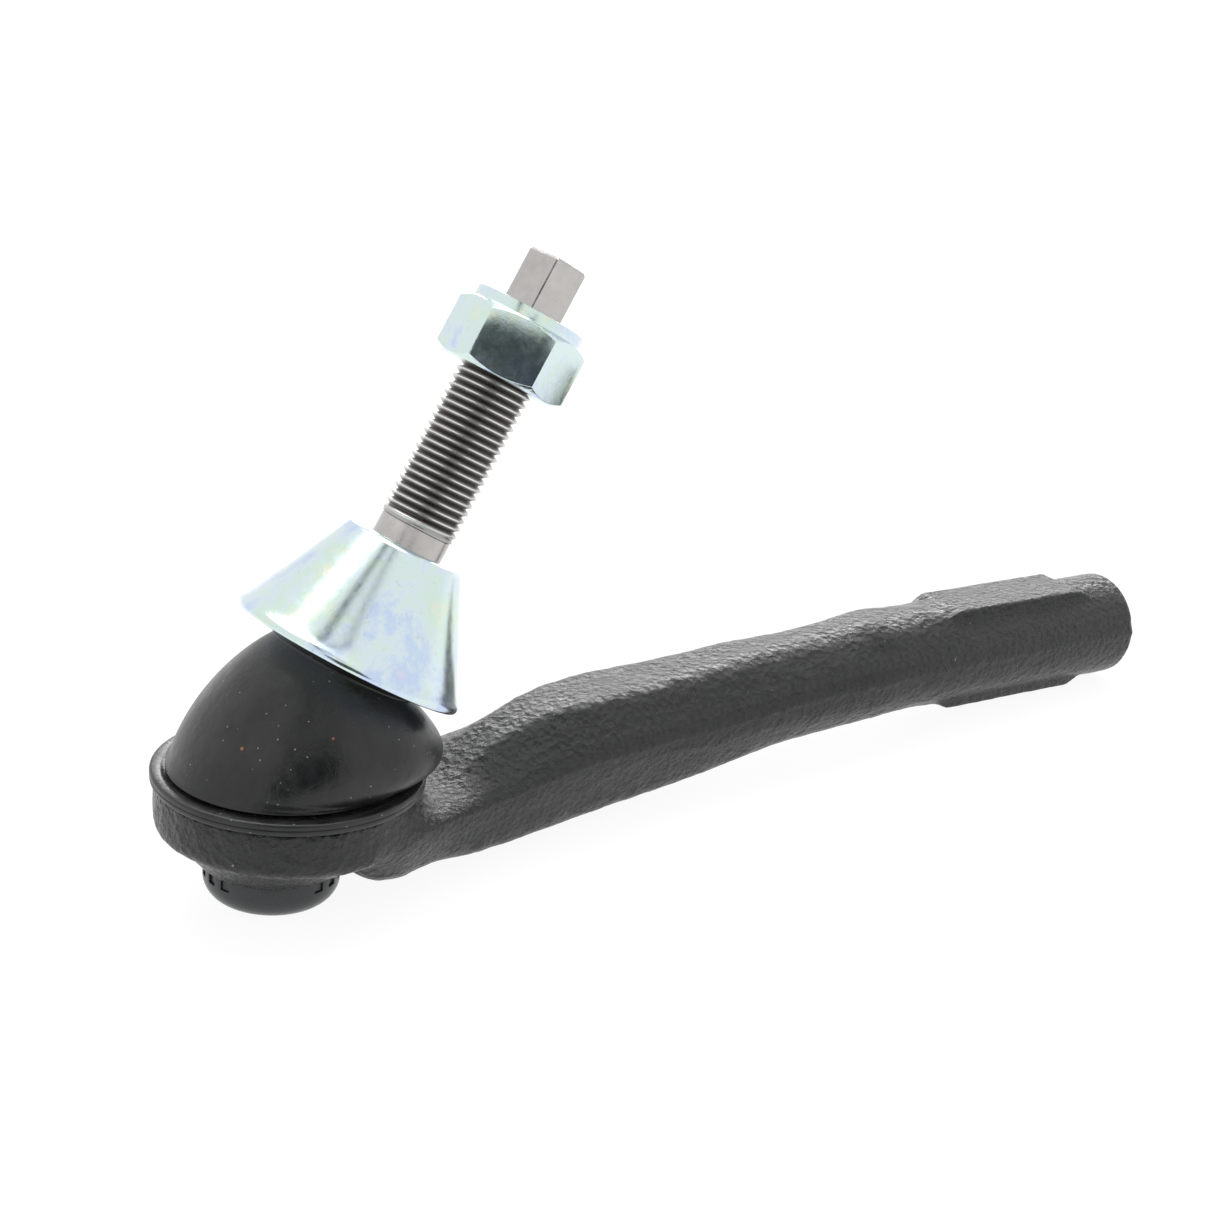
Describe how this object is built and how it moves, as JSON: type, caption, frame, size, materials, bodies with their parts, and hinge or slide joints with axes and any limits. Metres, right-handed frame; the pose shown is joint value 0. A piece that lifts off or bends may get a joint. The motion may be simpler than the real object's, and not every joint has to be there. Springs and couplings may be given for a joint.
{
  "type": "tie rod end",
  "caption": "Outer tie rod end: forged arm with a ball joint, rubber boot, threaded stud with a conical seat collar and lock nut, and a tapped end.",
  "frame": {"origin": "centre of the ball", "axes": "+X along the forged arm towards its tapped end, +Z along the socket axis towards the stud side"},
  "size_m": [0.2208, 0.0476, 0.1124],
  "materials": {
    "e_coated_forging": "black electrophoretic paint over a shot-blasted forging, semi-gloss",
    "e_coated_cap": "black electrophoretic paint over drawn sheet, semi-gloss",
    "acetal": "natural moulded acetal",
    "plain_steel": "bare pressed steel",
    "spring_steel": "oil-tempered spring wire",
    "boot_rubber": "moulded chloroprene rubber, satin",
    "neck_plastic": "moulded black nylon",
    "turned_steel": "turned and thread-rolled steel, bare",
    "zinc_plate": "clear-passivated zinc plate with a pale iridescence",
    "nylon": "natural nylon locking insert"
  },
  "bodies": {
    "housing": {"forged_housing": "e_coated_forging", "lower_bearing": "acetal", "upper_bearing": "acetal", "closing_ring": "plain_steel", "pressure_pad": "plain_steel", "preload_spring": "spring_steel", "end_cap": "e_coated_cap", "boot_base_ring": "boot_rubber"},
    "swivel": {"boot": "boot_rubber"},
    "lean": {"boot_neck_ring": "neck_plastic"},
    "stud": {"ball_stud": "turned_steel", "cone_collar": "zinc_plate"},
    "nut_travel": {"nut_lock_ring": "nylon"},
    "nut": {"hex_nut": "zinc_plate"}
  },
  "joints": [
    {"name": "lean_direction", "type": "hinge", "parent": "housing", "child": "swivel", "pos_m": [0, 0, 0], "axis": [0, 0, 1], "continuous": true},
    {"name": "stud_lean", "type": "hinge", "parent": "swivel", "child": "lean", "pos_m": [0, 0, 0], "axis": [0, 1, 0], "range_deg": [-59, 1], "deforming": ["boot"]},
    {"name": "stud_spin", "type": "hinge", "parent": "lean", "child": "stud", "pos_m": [0, 0, 0], "axis": [0.4848, 0, 0.8746], "continuous": true},
    {"name": "nut_slide", "type": "slide", "parent": "stud", "child": "nut_travel", "axis": [0.4848, 0, 0.8746], "range_m": [-0.0292, 0.0242]},
    {"name": "nut_turn", "type": "hinge", "parent": "nut_travel", "child": "nut", "pos_m": [0.03975, 0, 0.07172], "axis": [0.4848, 0, 0.8746], "range_deg": [-6840, 5760]}
  ],
  "couplings": [
    {"joint": "nut_slide", "follows": "nut_turn", "m_per_rad": 0.00023873}
  ]
}
